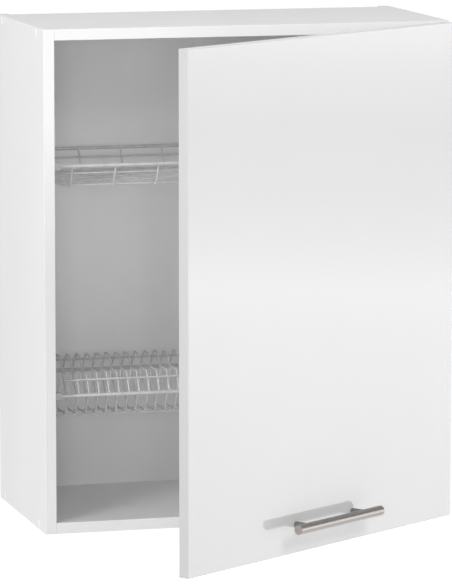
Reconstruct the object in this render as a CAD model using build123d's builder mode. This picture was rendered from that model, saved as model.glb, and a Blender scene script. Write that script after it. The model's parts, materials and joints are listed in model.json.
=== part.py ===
from build123d import *
from math import atan2, cos, degrees, hypot, pi, radians, sin
import os

# Dish drying cabinet that hangs on a wall. X runs to the right, Y towards the wall, Z up, in millimetres.
# The origin lies on the wall, midway between the bearing edges of the two wall hooks.

# Carcase
cabinet_width = 600.0
cabinet_height = 720.0
cabinet_depth = 300.0
board = 16.0
hook_height = 675.0  # from the underside to the wall hooks' bearing edges
edge_radius = 0.8

# Back
hardboard = 3.0
back_recess = 13.0  # from the sides' rear edges to the back
groove_depth = 5.0
groove_play = 0.2
joining_strip_width = 16.0

# Door, which stands open in the rest position
door_gap = 2.0  # between the closed door and the carcase, and at its free and hinge edges
door_reveal = 1.0  # above and below the door
door_rest_angle = 35.4

# Hinges
hinge_heights = (100.0, 620.0)  # above the underside
cup_centre_inset = 22.5  # from the door's hinge edge to the cup's centre
cup_radius = 17.5
cup_depth = 12.0
cup_plate = 1.2
plate_setback = 37.0  # from the carcase's front edge to the mounting plate's screws
plate_screw_spacing = 32.0
cup_screw_spacing = 48.0
cup_screw_offset = 6.0  # from the cup's centre line, away from the hinge edge
turning_axis_inset = 7.75  # from the carcase's outer side
turning_axis_reach = 11.5  # ahead of the carcase's front edge

# Handle
bar_diameter = 14.0
bar_length = 188.0
post_spacing = 128.0
post_diameter = 9.0
bar_reach = 28.0  # from the door's face to the bar's centre
handle_rise = 40.0  # above the door's lower edge

# Wire racks, whose depths are from the carcase's front edge and heights from its underside
rail_diameter = 5.0
long_wire_diameter = 3.0
bent_wire_diameter = 2.5
bend_cut = 4.0  # from a bend's corner to where the wire starts to turn
weld_sink = 0.25
six_sided = 1.1  # widens a six-sided wire to the section of a round one
square_sided = 0.9  # narrows a square wire likewise
rail_end = 280.5
rack_reach = 265.0  # half the length of the lengthwise wires
plate_wire_count = 36
plate_wire_pitch = 14.8
cup_wire_count = 9
cup_wire_pitch = 63.0
base_wire_count = 9

# Shared by the sections below
bottom = -hook_height
top = bottom + cabinet_height
front = -cabinet_depth
inner_side = cabinet_width / 2 - board
back_face = -(back_recess + hardboard)
panel_depth = cabinet_depth - back_recess - hardboard
door_back = front - door_gap
door_face = door_back - board
door_width = cabinet_width - 2 * door_gap
door_height = cabinet_height - 2 * door_reveal
door_bottom = bottom + door_reveal
hinge_edge = door_width / 2
hinge_levels = [bottom + height for height in hinge_heights]
turning_axis = (cabinet_width / 2 - turning_axis_inset, front - turning_axis_reach)
door_pose = (
    Location((*turning_axis, 0), (0, 0, door_rest_angle)) * Location((-turning_axis[0], -turning_axis[1], 0))
)


def on_door(plane):
    """Carries a plane of the closed door to where the door stands open."""
    return Plane(door_pose * plane.location)


def rack_point(depth, height):
    """Turns a depth behind the front edge and a height above the underside into Y and Z."""
    return (front + depth, bottom + height)


def turned(point, centre, angle):
    """Turns a point about a centre, in degrees, seen from above."""
    across, along = point[0] - centre[0], point[1] - centre[1]
    c, s = cos(radians(angle)), sin(radians(angle))
    return (centre[0] + c * across - s * along, centre[1] + s * across + c * along)


def towards(start, end, distance):
    """Returns the point at a distance from start on the line to end."""
    run = hypot(end[0] - start[0], end[1] - start[1])
    return tuple(a + (b - a) * distance / run for a, b in zip(start, end))


def eased(points, cut):
    """Cuts each inner corner of a bent wire's line back by a small run on both sides."""
    line = [points[0]]
    for before, corner, after in zip(points, points[1:], points[2:]):
        line += [towards(corner, before, cut), towards(corner, after, cut)]
    return line + [points[-1]]


def finish(piece, name):
    """Names a finished piece and writes its file."""
    piece.part.label = name
    export_step(piece.part, f"parts/{name}.step")
    print(name, len(piece.part.solids()), "solids", round(piece.part.volume), "mm3")


os.makedirs("parts", exist_ok=True)

# Small screws, caps and their holes are drawn with flat sides
screw_sides = 8
round_sides = 16
play = 0.15

# Wood screws, along Z with the countersunk head at the top, and the seats and pilot holes cut for them
wood_head_radius = 3.6
wood_head_height = 2.2
wood_radius = 1.7
short_screw_length = 12.0
hanger_screw_length = 27.0
pilot_depth = 11.5


def narrow_foot(piece, narrowing):
    """Chamfers the lowest edges of a flat-sided head, whose corner radius narrows by this much."""
    chamfer(piece.faces().sort_by(Axis.Z)[0].edges(), narrowing * cos(pi / screw_sides))


def wood_screw(length):
    """Makes a wood screw without its thread."""
    with BuildPart() as screw:
        with BuildSketch(Plane.XY):
            RegularPolygon(wood_head_radius, screw_sides)
        extrude(amount=-wood_head_height)
        narrow_foot(screw, wood_head_radius - wood_radius)
        with BuildSketch(Plane.XY.offset(-wood_head_height)):
            RegularPolygon(wood_radius, screw_sides)
        extrude(amount=wood_head_height - length)
    return screw.part


def screw_seat(depth):
    """Makes the countersunk hollow that a wood screw sits in."""
    with BuildPart() as seat:
        with BuildSketch(Plane.XY):
            RegularPolygon(wood_head_radius + play, screw_sides)
        extrude(amount=-wood_head_height - play)
        narrow_foot(seat, wood_head_radius - wood_radius)
        with BuildSketch(Plane.XY):
            RegularPolygon(wood_radius + play, screw_sides)
        extrude(amount=-depth)
    return seat.part


with BuildPart() as pilot_hole:
    with BuildSketch(Plane.XY):
        RegularPolygon(wood_radius + play, screw_sides)
    extrude(amount=-pilot_depth)
short_seat = screw_seat(short_screw_length + 1)

# Carcase screws, which hold the sides to the top and bottom panels: each steps down from its head to a neck
# in the side and a thread in the panel, and has a hexagonal socket for the driver
carcase_head_radius = 5.0
carcase_head_height = 3.2
carcase_neck_radius = 3.5
carcase_thread_radius = 2.5
carcase_screw_length = 50.0
socket_radius = 2.3
socket_depth = 2.8
carcase_screw_depths = (45.0, 266.5)
carcase_screw_levels = (bottom + board / 2, top - board / 2)
carcase_screw_places = {
    sign: [Location((sign * cabinet_width / 2, front + depth, level), (0, sign * 90, 0))
           for depth in carcase_screw_depths for level in carcase_screw_levels]
    for sign in (-1, 1)
}


def carcase_screw(extra, socket):
    """Makes a carcase screw, or the hollow for it when extra widens and lengthens it."""
    with BuildPart() as screw:
        with BuildSketch(Plane.XY):
            RegularPolygon(carcase_head_radius + extra, screw_sides)
        extrude(amount=-carcase_head_height)
        narrow_foot(screw, carcase_head_radius - carcase_neck_radius)
        with BuildSketch(Plane.XY.offset(-carcase_head_height)):
            RegularPolygon(carcase_neck_radius + extra, screw_sides)
        extrude(amount=carcase_head_height - board)
        with BuildSketch(Plane.XY.offset(-board)):
            RegularPolygon(carcase_thread_radius + extra, screw_sides)
        extrude(amount=board - carcase_screw_length - extra)
        if socket:
            with BuildSketch(Plane.XY):
                RegularPolygon(socket_radius, 6)
            extrude(amount=-socket_depth, mode=Mode.SUBTRACT)
    return screw.part


carcase_hollow = carcase_screw(play, False)


def side_spot(sign, depth, level, lift):
    """Returns a place on a side's inner face, or lifted off it, looking into the cabinet."""
    origin = (sign * (inner_side - lift), depth, level)
    return Plane(origin=origin, x_dir=(0, -sign, 0), z_dir=(-sign, 0, 0)).location


# What is fixed to the sides: wall hangers, rack holders and the hinges' mounting plates
housing_thickness = 16.0
adjuster_level = 15.0  # above the hooks' bearing edges
hanger_screw_spots = [(-70.0, -5.0), (-30.0, -5.0)]
adjuster_spots = [(-62.0, adjuster_level), (-34.0, adjuster_level)]
holder_wall = 2.0
wing_height = 2.5
rack_rails = {
    "plate_rack": (rack_point(25.0, 194.5), rack_point(256.0, 194.5)),
    "cup_rack": (rack_point(25.0, 523.5), rack_point(255.0, 523.5)),
}
rail_spots = [spot for spots in rack_rails.values() for spot in spots]
hanger_screw_places, adjuster_places, holder_pin_places, side_holes = {}, {}, {}, {}
for sign in (-1, 1):
    hanger_screw_places[sign] = [side_spot(sign, *spot, housing_thickness) for spot in hanger_screw_spots]
    adjuster_places[sign] = [side_spot(sign, *spot, housing_thickness) for spot in adjuster_spots]
    holder_pin_places[sign] = [side_spot(sign, *spot, holder_wall) for spot in rail_spots]
    side_holes[sign] = [side_spot(sign, *spot, 0) for spot in hanger_screw_spots + rail_spots]
plate_screw_spots = [(front + plate_setback, level + step * plate_screw_spacing / 2)
                     for level in hinge_levels for step in (-1, 1)]
plate_screw_places = [side_spot(1, *spot, wing_height) for spot in plate_screw_spots]
side_holes[1] += [side_spot(1, *spot, 0) for spot in plate_screw_spots]

# Side panels, each with a groove for the back and holes for the carcase screws
for side, sign in (("left", -1), ("right", 1)):
    with BuildPart() as side_panel:
        with BuildSketch(Plane.XY.offset(bottom)):
            with Locations((sign * (cabinet_width - board) / 2, -cabinet_depth / 2)):
                Rectangle(board, cabinet_depth)
        extrude(amount=cabinet_height)
        fillet(side_panel.edges().filter_by(Axis.Z).group_by(Axis.Y)[0], edge_radius)
        with BuildSketch(Plane.XY.offset(bottom)):
            with Locations((sign * (inner_side + groove_depth / 2), back_face + hardboard / 2)):
                Rectangle(groove_depth, hardboard + groove_play)
        extrude(amount=cabinet_height, mode=Mode.SUBTRACT)
        with Locations(*carcase_screw_places[sign]):
            add(carcase_hollow, mode=Mode.SUBTRACT)
        with Locations(*side_holes[sign]):
            add(pilot_hole.part, mode=Mode.SUBTRACT)
    finish(side_panel, f"{side}_side_panel")

# Top and bottom panels, between the sides and in front of the back
for name, level in (("bottom_panel", bottom), ("top_panel", top - board)):
    with BuildPart() as flat_panel:
        with BuildSketch(Plane.XY.offset(level)):
            with Locations((0, front + panel_depth / 2)):
                Rectangle(2 * inner_side, panel_depth)
        extrude(amount=board)
        fillet(flat_panel.edges().filter_by(Axis.X).group_by(Axis.Y)[0], edge_radius)
        with Locations(*carcase_screw_places[-1], *carcase_screw_places[1]):
            add(carcase_hollow, mode=Mode.SUBTRACT)
    finish(flat_panel, name)

with BuildPart() as carcase_screws:
    with Locations(*carcase_screw_places[-1], *carcase_screw_places[1]):
        add(carcase_screw(0.0, True))
finish(carcase_screws, "carcase_screws")

# Screw caps: thin discs on the sides' outer faces, each with a peg in its screw's socket
cap_radius = 6.0
cap_thickness = 0.6
cap_peg_length = 2.0
with BuildPart() as screw_cap:
    with BuildSketch(Plane.XY):
        RegularPolygon(cap_radius, round_sides)
    extrude(amount=cap_thickness)
    with BuildSketch(Plane.XY):
        RegularPolygon(socket_radius - play, 6)
    extrude(amount=-cap_peg_length)
with BuildPart() as screw_caps:
    with Locations(*carcase_screw_places[-1], *carcase_screw_places[1]):
        add(screw_cap.part)
finish(screw_caps, "screw_caps")

# Wall hangers: a moulded housing screwed to each side, and a bent steel hook that slides in it
housing_depth = 62.0
housing_low, housing_high = -12.0, 26.0
housing_rear = back_face - 1.0
housing_corner = 4.0
housing_bevel = 1.2
adjuster_radius = 3.9
adjuster_window_depth = 9.0
adjuster_height = 6.0
driver_slot = (9.0, 1.2)  # long and wide, across a screw's head
driver_slot_depth = 1.5
hook_width = 12.0
hook_metal = 3.0
hook_front = -66.0
hook_end = -1.5
lip_drop = 9.0
hook_play = 0.2
hook_slot_room = 4.0  # ahead of the hook
hook_bend = 2.5
window_low, window_high = -14.0, 14.0
window_width = 18.0
hook_middle = inner_side - housing_thickness / 2

# Hardboard back in two halves, with a window for each wall hook
strip_flange = 0.8
strip_web = 1.2
for side, sign in (("left", -1), ("right", 1)):
    outer_edge = inner_side + groove_depth - groove_play
    inner_edge = strip_web / 2 + groove_play
    with BuildPart() as back_panel:
        with BuildSketch(Plane.XY.offset(bottom + door_reveal)):
            with Locations((sign * (outer_edge + inner_edge) / 2, back_face + hardboard / 2)):
                Rectangle(outer_edge - inner_edge, hardboard)
        extrude(amount=door_height)
        with BuildSketch(Plane.XZ.offset(-back_face)):
            with Locations((sign * (inner_side - window_width / 2), (window_low + window_high) / 2)):
                Rectangle(window_width, window_high - window_low)
        extrude(amount=-hardboard, mode=Mode.SUBTRACT)
    finish(back_panel, f"back_panel_{side}")

# Joining strip: an H profile that holds the two halves of the back together
with BuildPart() as back_joining_strip:
    with BuildSketch(Plane.XY.offset(bottom + board)):
        with Locations((0, back_face - strip_flange / 2)):
            Rectangle(joining_strip_width, strip_flange)
    extrude(amount=cabinet_height - 2 * board)
    with BuildSketch(Plane.XY.offset(bottom + door_reveal)):
        with Locations((0, back_face + hardboard / 2)):
            Rectangle(strip_web, hardboard)
        with Locations((0, back_face + hardboard + strip_flange / 2)):
            Rectangle(joining_strip_width, strip_flange)
    extrude(amount=door_height)
finish(back_joining_strip, "back_joining_strip")

for side, sign in (("left", -1), ("right", 1)):
    face = Plane(side_spot(sign, 0, 0, housing_thickness))
    with BuildPart() as housing:
        with BuildSketch(face):
            with Locations((-sign * (housing_rear - housing_depth / 2), (housing_low + housing_high) / 2)):
                RectangleRounded(housing_depth, housing_high - housing_low, housing_corner)
        extrude(amount=-housing_thickness)
        chamfer(housing.faces().sort_by(Axis.X)[0 if sign > 0 else -1].edges(), housing_bevel)
        with BuildSketch(Plane.XZ.offset(-housing_rear)):
            with Locations((sign * hook_middle, hook_metal / 2)):
                Rectangle(hook_width + 2 * hook_play, hook_metal + 2 * hook_play)
        extrude(amount=housing_rear - hook_front + hook_slot_room, mode=Mode.SUBTRACT)
        with Locations(*hanger_screw_places[sign]):
            add(screw_seat(housing_thickness), mode=Mode.SUBTRACT)
        with BuildSketch(face):
            with Locations(*[(-sign * y, z) for y, z in adjuster_spots]):
                RegularPolygon(adjuster_radius + 2 * play, round_sides)
        extrude(amount=-adjuster_window_depth, mode=Mode.SUBTRACT)
    finish(housing, f"{side}_hanger_housing")
    with BuildPart() as hook:
        with BuildSketch(Plane.YZ.offset(sign * hook_middle - hook_width / 2)):
            with BuildLine():
                Polyline(
                    (hook_front, 0), (hook_end - hook_metal, 0), (hook_end - hook_metal, -lip_drop),
                    (hook_end, -lip_drop), (hook_end, hook_metal), (hook_front, hook_metal), (hook_front, 0),
                )
            make_face()
        extrude(amount=hook_width)
        fillet(hook.edges().filter_by(Axis.X).group_by(Axis.Y)[-1].sort_by(Axis.Z)[-1], hook_bend)
    finish(hook, f"{side}_hanger_hook")

with BuildPart() as hanger_screws:
    with Locations(*hanger_screw_places[-1], *hanger_screw_places[1]):
        add(wood_screw(hanger_screw_length))
finish(hanger_screws, "hanger_screws")

# Adjusting screws of the wall hangers, sunk in their windows, each with a slot across its head
with BuildPart() as adjuster:
    with BuildSketch(Plane.XY.offset(-adjuster_window_depth)):
        RegularPolygon(adjuster_radius, round_sides)
    extrude(amount=adjuster_height)
    with BuildSketch(Plane.XY.offset(adjuster_height - adjuster_window_depth)):
        Rectangle(*driver_slot)
    extrude(amount=-driver_slot_depth, mode=Mode.SUBTRACT)
with BuildPart() as hanger_adjusters:
    with Locations(*adjuster_places[-1], *adjuster_places[1]):
        add(adjuster.part)
finish(hanger_adjusters, "hanger_adjusters")

# Rack holders: open-topped plastic sockets on both sides, two for each end of a rack
holder_length = 12.5
holder_width = 11.0
holder_drop = 5.5
holder_rise = 6.0
holder_bevel = 1.5
rail_play = 0.3
for rack, spots in rack_rails.items():
    with BuildPart() as holders:
        for sign in (-1, 1):
            with BuildSketch(Plane.YZ.offset(sign * inner_side)):
                with Locations(*[(y, z + (holder_rise - holder_drop) / 2) for y, z in spots]):
                    socket = Rectangle(holder_width, holder_rise + holder_drop)
                chamfer(socket.vertices(), holder_bevel)
            extrude(amount=-sign * holder_length)
            with BuildSketch(Plane.YZ.offset(sign * (inner_side - holder_wall))):
                with Locations(*spots):
                    Circle(rail_diameter / 2 + rail_play)
                with Locations(*[(y, z + holder_rise) for y, z in spots]):
                    Rectangle(rail_diameter + 2 * rail_play, 2 * holder_rise)
            extrude(amount=-sign * holder_length, mode=Mode.SUBTRACT)
            with Locations(*holder_pin_places[sign]):
                add(pilot_hole.part, mode=Mode.SUBTRACT)
    finish(holders, f"{rack}_holders")

# Pins that hold the rack holders in the sides: a low round head and a peg
pin_head_radius = 2.5
pin_head_height = 1.0
pin_length = 10.0
with BuildPart() as holder_pin:
    with BuildSketch(Plane.XY):
        RegularPolygon(pin_head_radius, screw_sides)
    extrude(amount=pin_head_height)
    with BuildSketch(Plane.XY):
        RegularPolygon(wood_radius, screw_sides)
    extrude(amount=-pin_length)
with BuildPart() as holder_pins:
    with Locations(*holder_pin_places[-1], *holder_pin_places[1]):
        add(holder_pin.part)
finish(holder_pins, "holder_pins")


def wire_leg(points, distance, away):
    """Returns the centre of a lengthwise wire laid on one side of a bent wire's first run."""
    start, end = points[0], points[1]
    run = hypot(end[0] - start[0], end[1] - start[1])
    depth, rise = (end[0] - start[0]) / run, (end[1] - start[1]) / run
    return (start[0] + depth * distance - rise * away, start[1] + rise * distance + depth * away)


wire_lift = (bent_wire_diameter + long_wire_diameter) / 2 - weld_sink
rail_touch = rail_diameter / 2 - weld_sink


def bent_wires(name, points, count, pitch, bend):
    """Makes a row of equal square-sided wires, each bent to one line and butted on the rails at both ends."""
    first, last = towards(points[0], points[1], rail_touch), towards(points[-1], points[-2], rail_touch)
    line = [first, *points[1:-1], last]
    with BuildPart() as wire:
        with BuildLine(Plane.YZ) as path:
            Polyline(*eased(line, bend))
        with BuildSketch(Plane(origin=path.line @ 0, x_dir=(1, 0, 0), z_dir=path.line % 0)):
            Rectangle(square_sided * bent_wire_diameter, square_sided * bent_wire_diameter)
        sweep(transition=Transition.RIGHT)
    start = -(count - 1) * pitch / 2
    with BuildPart() as row:
        with Locations(*[(start + pitch * index, 0, 0) for index in range(count)]):
            add(wire.part)
    finish(row, name)


def long_wires(name, spots, reach, diameter, is_round=False):
    """Makes straight wires along X through the given spots."""
    with BuildPart() as row:
        with BuildSketch(Plane.YZ.offset(-reach)):
            with Locations(*spots):
                if is_round:
                    Circle(diameter / 2)
                else:
                    RegularPolygon(six_sided * diameter / 2, 6)
        extrude(amount=2 * reach)
    finish(row, name)


# Plate rack: 36 bent wires that stand up as dividers with a trough between them for the plates' rims
plate_front, plate_rear = rack_rails["plate_rack"]
plate_wire = [
    plate_front, rack_point(44.0, 223.5), rack_point(75.5, 222.5), rack_point(111.0, 153.5),
    rack_point(158.0, 153.5), rack_point(209.0, 222.0), rack_point(230.5, 222.5), plate_rear,
]
bent_wires("plate_rack_wires", plate_wire, plate_wire_count, plate_wire_pitch, bend_cut)
long_wires("plate_rack_rails", rack_rails["plate_rack"], rail_end, rail_diameter, is_round=True)
plate_stringer_runs = (23.0, 21.0)  # up the front and rear legs from the rails
plate_stringers = [
    wire_leg(plate_wire, plate_stringer_runs[0], wire_lift),
    wire_leg(plate_wire[::-1], plate_stringer_runs[1], -wire_lift),
]
bottom_wire_inset = bend_cut  # inside the trough's bottom bends
plate_bottom = [
    (plate_wire[3][0] + bottom_wire_inset, plate_wire[3][1] - wire_lift),
    (plate_wire[4][0] - bottom_wire_inset, plate_wire[4][1] - wire_lift),
]
long_wires("plate_rack_stringers", plate_stringers, rack_reach, long_wire_diameter)
long_wires("plate_rack_bottom_wires", plate_bottom, rack_reach, long_wire_diameter)

# Cup rack: a shallow basket of nine cross wires with lengthwise wires lying on them
cup_front, cup_rear = rack_rails["cup_rack"]
cup_floor = 491.5
cup_wire = [cup_front, rack_point(44.0, cup_floor), rack_point(236.0, cup_floor), cup_rear]
bent_wires("cup_rack_cross_wires", cup_wire, cup_wire_count, cup_wire_pitch, bend_cut)
long_wires("cup_rack_rails", rack_rails["cup_rack"], rail_end, rail_diameter, is_round=True)
cup_stringer_runs = (14.5, 15.5)
cup_stringers = [
    wire_leg(cup_wire, cup_stringer_runs[0], wire_lift),
    wire_leg(cup_wire[::-1], cup_stringer_runs[1], -wire_lift),
]
long_wires("cup_rack_stringers", cup_stringers, rack_reach, long_wire_diameter)
base_first, base_last = 47.5, 232.5
base_step = (base_last - base_first) / (base_wire_count - 1)
base_level = cup_floor + wire_lift
cup_base = [rack_point(base_first + base_step * index, base_level) for index in range(base_wire_count)]
long_wires("cup_rack_base_wires", cup_base, rack_reach, long_wire_diameter)

# Door panel, drawn closed and carried to its open place
handle_level = door_bottom + handle_rise
cup_x = hinge_edge - cup_centre_inset
post_places = [(-post_spacing / 2, handle_level), (post_spacing / 2, handle_level)]
post_screw_radius = 2.0
cup_faces = {
    level: on_door(Plane(origin=(cup_x, door_back + cup_plate, level), x_dir=(-1, 0, 0), z_dir=(0, 1, 0)))
    for level in hinge_levels
}
cup_screw_places = [
    cup_faces[level].location * Location((cup_screw_offset, step * cup_screw_spacing / 2, 0))
    for level in hinge_levels for step in (-1, 1)
]
door_inside = on_door(Plane.XZ.offset(-door_back))
door_outside = on_door(Plane.XZ.offset(-door_face))
with BuildPart() as door_panel:
    with BuildSketch(on_door(Plane.XY.offset(door_bottom))):
        with Locations((0, (door_back + door_face) / 2)):
            Rectangle(door_width, board)
    extrude(amount=door_height)
    fillet(door_panel.faces().sort_by(Axis((0, 0, 0), door_outside.z_dir))[-1].edges(), edge_radius)
    with BuildSketch(door_inside):
        with Locations(*[(cup_x, level) for level in hinge_levels]):
            Circle(cup_radius + play)
    extrude(amount=cup_depth + play, mode=Mode.SUBTRACT)
    with BuildSketch(door_inside):
        with Locations(*post_places):
            RegularPolygon(post_screw_radius + play, screw_sides)
    extrude(amount=board, mode=Mode.SUBTRACT)
    with Locations(*cup_screw_places):
        add(short_seat, mode=Mode.SUBTRACT)
finish(door_panel, "door_panel")

# Handle: a round bar on two posts, held by screws through the door
bar_y = door_face - bar_reach
bar_bevel = 0.5
post_sink = 2.5  # of the posts' ends in the bar
bar_seat = bar_reach - bar_diameter / 2 + post_sink
post_fit = 0.05
post_thread = 12.0
post_screw_head = (4.0, 2.4)  # radius and height
with BuildPart() as handle_bar:
    with BuildSketch(on_door(Plane.YZ.offset(-bar_length / 2))):
        with Locations((bar_y, handle_level)):
            Circle(bar_diameter / 2)
    extrude(amount=bar_length)
    chamfer(handle_bar.edges().filter_by(GeomType.CIRCLE), bar_bevel)
    with BuildSketch(door_outside):
        with Locations(*post_places):
            Circle(post_diameter / 2 + post_fit)
    extrude(amount=bar_seat, mode=Mode.SUBTRACT)
finish(handle_bar, "handle_bar")
with BuildPart() as handle_posts:
    with BuildSketch(door_outside):
        with Locations(*post_places):
            Circle(post_diameter / 2)
    extrude(amount=bar_seat)
    with BuildSketch(door_outside):
        with Locations(*post_places):
            RegularPolygon(post_screw_radius + play, screw_sides)
    extrude(amount=post_thread, mode=Mode.SUBTRACT)
finish(handle_posts, "handle_posts")
with BuildPart() as handle_screws:
    with BuildSketch(door_inside):
        with Locations(*post_places):
            RegularPolygon(post_screw_radius, screw_sides)
    extrude(amount=board + post_thread - 1)
    with BuildSketch(door_inside):
        with Locations(*post_places):
            RegularPolygon(post_screw_head[0], round_sides)
    extrude(amount=-post_screw_head[1])
finish(handle_screws, "handle_screws")

# Hinges. Link places are in the closed door's plan, with the links' lines from the cup pins to the arm.
cup_wall = 1.0
cavity_radius = cup_radius - cup_wall
cavity_half = 7.6
strap = 2.0
outer_pin = (286.17, -307.09)
inner_pin = (281.94, -308.93)
outer_link = {"pin": outer_pin, "length": 32.8, "bend": (6.8, 6.5), "closed": 108.9, "turn": 0.2127}
inner_link = {"pin": inner_pin, "length": 26.0, "bend": (13.2, 7.7), "closed": 105.6, "turn": 0.1836}
pin_radius = 1.25
pin_play = 0.06
eye_radius = 2.3
outer_cheeks = (3.9, 6.6)  # from the hinge's level to the inner and outer faces of the long link's cheeks
inner_half = 3.4
pin_anchor = 2.0
cup_rim = 1.5
ear_width = 14.0
ear_end = 7.0  # beyond the cup's screws


def link_line(link):
    """Returns the pin, the bend and the tail of a link where the door stands open, seen from above."""
    pin = turned(link["pin"], turning_axis, door_rest_angle)
    heading = radians(link["closed"] + link["turn"] * door_rest_angle)
    along, across = (cos(heading), sin(heading)), (-sin(heading), cos(heading))
    bend = tuple(p + a * link["bend"][0] + b * link["bend"][1] for p, a, b in zip(pin, along, across))
    tail = tuple(p + a * link["length"] for p, a in zip(pin, along))
    return pin, bend, tail


def strap_outline(link):
    """Draws a link's bent strap round its line, with an eye round its pin."""
    pin, bend, tail = link_line(link)
    for start, end in ((pin, bend), (bend, tail)):
        middle = ((start[0] + end[0]) / 2, (start[1] + end[1]) / 2)
        across, along = end[0] - start[0], end[1] - start[1]
        with Locations(middle):
            SlotCenterToCenter(hypot(across, along), strap, rotation=degrees(atan2(along, across)))
    with Locations(pin):
        Circle(eye_radius)


block_setback = 44.0  # from the front edge to the mounting plate's middle
block_length, block_width, block_height = 32.0, 17.6, 8.0
block_corner = 3.0
wing_width = 12.0
wing_end = 8.0  # beyond the plate's screws
arm_front, arm_back = 2.0, 62.0  # behind the front edge
arm_half = 10.2
arm_metal = 1.2
arm_top = 19.5  # from the side to the arm's web
arm_overlap = 4.0  # of the arm's flanges down the block's sides
arm_height = arm_top - block_height + arm_overlap
arm_corner = 2.5
arm_bevel = 0.8
arm_screw_setbacks = (38.0, 52.0)
arm_screw_radius = 2.9
arm_head_radius, arm_head_height = 4.2, 1.6
arm_screw_places = []
for position, level in zip(("lower", "upper"), hinge_levels):
    cup_face = cup_faces[level]
    with BuildPart() as cup:
        with BuildSketch(cup_face):
            Circle(cup_radius + cup_rim)
            with Locations((cup_screw_offset, 0)):
                RectangleRounded(ear_width, cup_screw_spacing + 2 * ear_end, ear_width / 2 - 0.1)
        extrude(amount=-cup_plate)
        with BuildSketch(Plane(cup_face.location * Location((0, 0, -cup_plate)))):
            Circle(cup_radius)
        extrude(amount=-cup_depth)
        with BuildSketch(cup_face):
            Circle(cavity_radius)
            Rectangle(2 * cavity_radius, 2 * cavity_half, mode=Mode.INTERSECT)
        extrude(amount=-(cup_plate + cup_depth - cup_wall), mode=Mode.SUBTRACT)
        with Locations(*cup_screw_places):
            add(short_seat, mode=Mode.SUBTRACT)
        for pin in (outer_pin, inner_pin):
            with BuildSketch(on_door(Plane.XY.offset(level - cavity_half - pin_anchor))):
                with Locations(pin):
                    Circle(pin_radius)
            extrude(amount=2 * (cavity_half + pin_anchor), mode=Mode.SUBTRACT)
    finish(cup, f"{position}_hinge_cup")

    with BuildPart() as cup_pins:
        with BuildSketch(on_door(Plane.XY.offset(level - cavity_half - pin_anchor))):
            with Locations(inner_pin):
                Circle(pin_radius)
        extrude(amount=2 * (cavity_half + pin_anchor))
        for step in (-1, 1):
            with BuildSketch(on_door(Plane.XY.offset(level + step * outer_cheeks[0]))):
                with Locations(outer_pin):
                    Circle(pin_radius)
            extrude(amount=step * (cavity_half + pin_anchor - outer_cheeks[0]))
    finish(cup_pins, f"{position}_cup_pins")

    with BuildPart() as long_link:
        for step in (-1, 1):
            with BuildSketch(Plane.XY.offset(level + step * outer_cheeks[0])):
                strap_outline(outer_link)
                with Locations(link_line(outer_link)[0]):
                    Circle(pin_radius + pin_play, mode=Mode.SUBTRACT)
            extrude(amount=step * (outer_cheeks[1] - outer_cheeks[0]))
        with BuildSketch(Plane.XY.offset(level - outer_cheeks[0])):
            with Locations(link_line(outer_link)[2]):
                Circle(strap / 2)
        extrude(amount=2 * outer_cheeks[0])
    finish(long_link, f"{position}_long_link")

    with BuildPart() as short_link:
        with BuildSketch(Plane.XY.offset(level - inner_half)):
            strap_outline(inner_link)
            with Locations(link_line(inner_link)[0]):
                Circle(pin_radius + pin_play, mode=Mode.SUBTRACT)
        extrude(amount=2 * inner_half)
    finish(short_link, f"{position}_short_link")

    # Mounting plate: a raised block with two wings screwed to the side
    side_face = Plane(origin=(inner_side, front, level), x_dir=(0, -1, 0), z_dir=(-1, 0, 0))
    with BuildPart() as mounting_plate:
        with BuildSketch(side_face):
            with Locations((-block_setback, 0)):
                RectangleRounded(block_length, block_width, block_corner)
        extrude(amount=block_height)
        with BuildSketch(side_face):
            with Locations((-plate_setback, 0)):
                RectangleRounded(wing_width, plate_screw_spacing + 2 * wing_end, wing_width / 2 - 0.1)
        extrude(amount=wing_height)
        with Locations(*plate_screw_places):
            add(short_seat, mode=Mode.SUBTRACT)
    finish(mounting_plate, f"{position}_hinge_plate")

    # Arm: a pressed channel over the block, open towards the side, that holds the links' tails
    arm_foot = side_face.offset(block_height - arm_overlap)
    arm_centre = (-(arm_front + arm_back) / 2, 0)
    with BuildPart() as arm:
        with BuildSketch(arm_foot):
            with Locations(arm_centre):
                RectangleRounded(arm_back - arm_front, 2 * arm_half, arm_corner)
        extrude(amount=arm_height)
        chamfer(arm.faces().sort_by(Axis.X)[0].edges(), arm_bevel)
        with BuildSketch(arm_foot):
            with Locations((arm_centre[0] + arm_metal, 0)):
                Rectangle(arm_back - arm_front, 2 * (arm_half - arm_metal))
        extrude(amount=arm_height - arm_metal, mode=Mode.SUBTRACT)
        with BuildSketch(side_face.offset(block_height)):
            with Locations(*[(-setback, 0) for setback in arm_screw_setbacks]):
                RegularPolygon(arm_screw_radius + play, round_sides)
        extrude(amount=arm_top, mode=Mode.SUBTRACT)
    finish(arm, f"{position}_hinge_arm")
    arm_screw_places += [
        side_face.location * Location((-setback, 0, block_height)) for setback in arm_screw_setbacks
    ]

with BuildPart() as cup_screws:
    with Locations(*cup_screw_places):
        add(wood_screw(short_screw_length))
finish(cup_screws, "hinge_cup_screws")
with BuildPart() as plate_screws:
    with Locations(*plate_screw_places):
        add(wood_screw(short_screw_length))
finish(plate_screws, "hinge_plate_screws")

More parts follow.
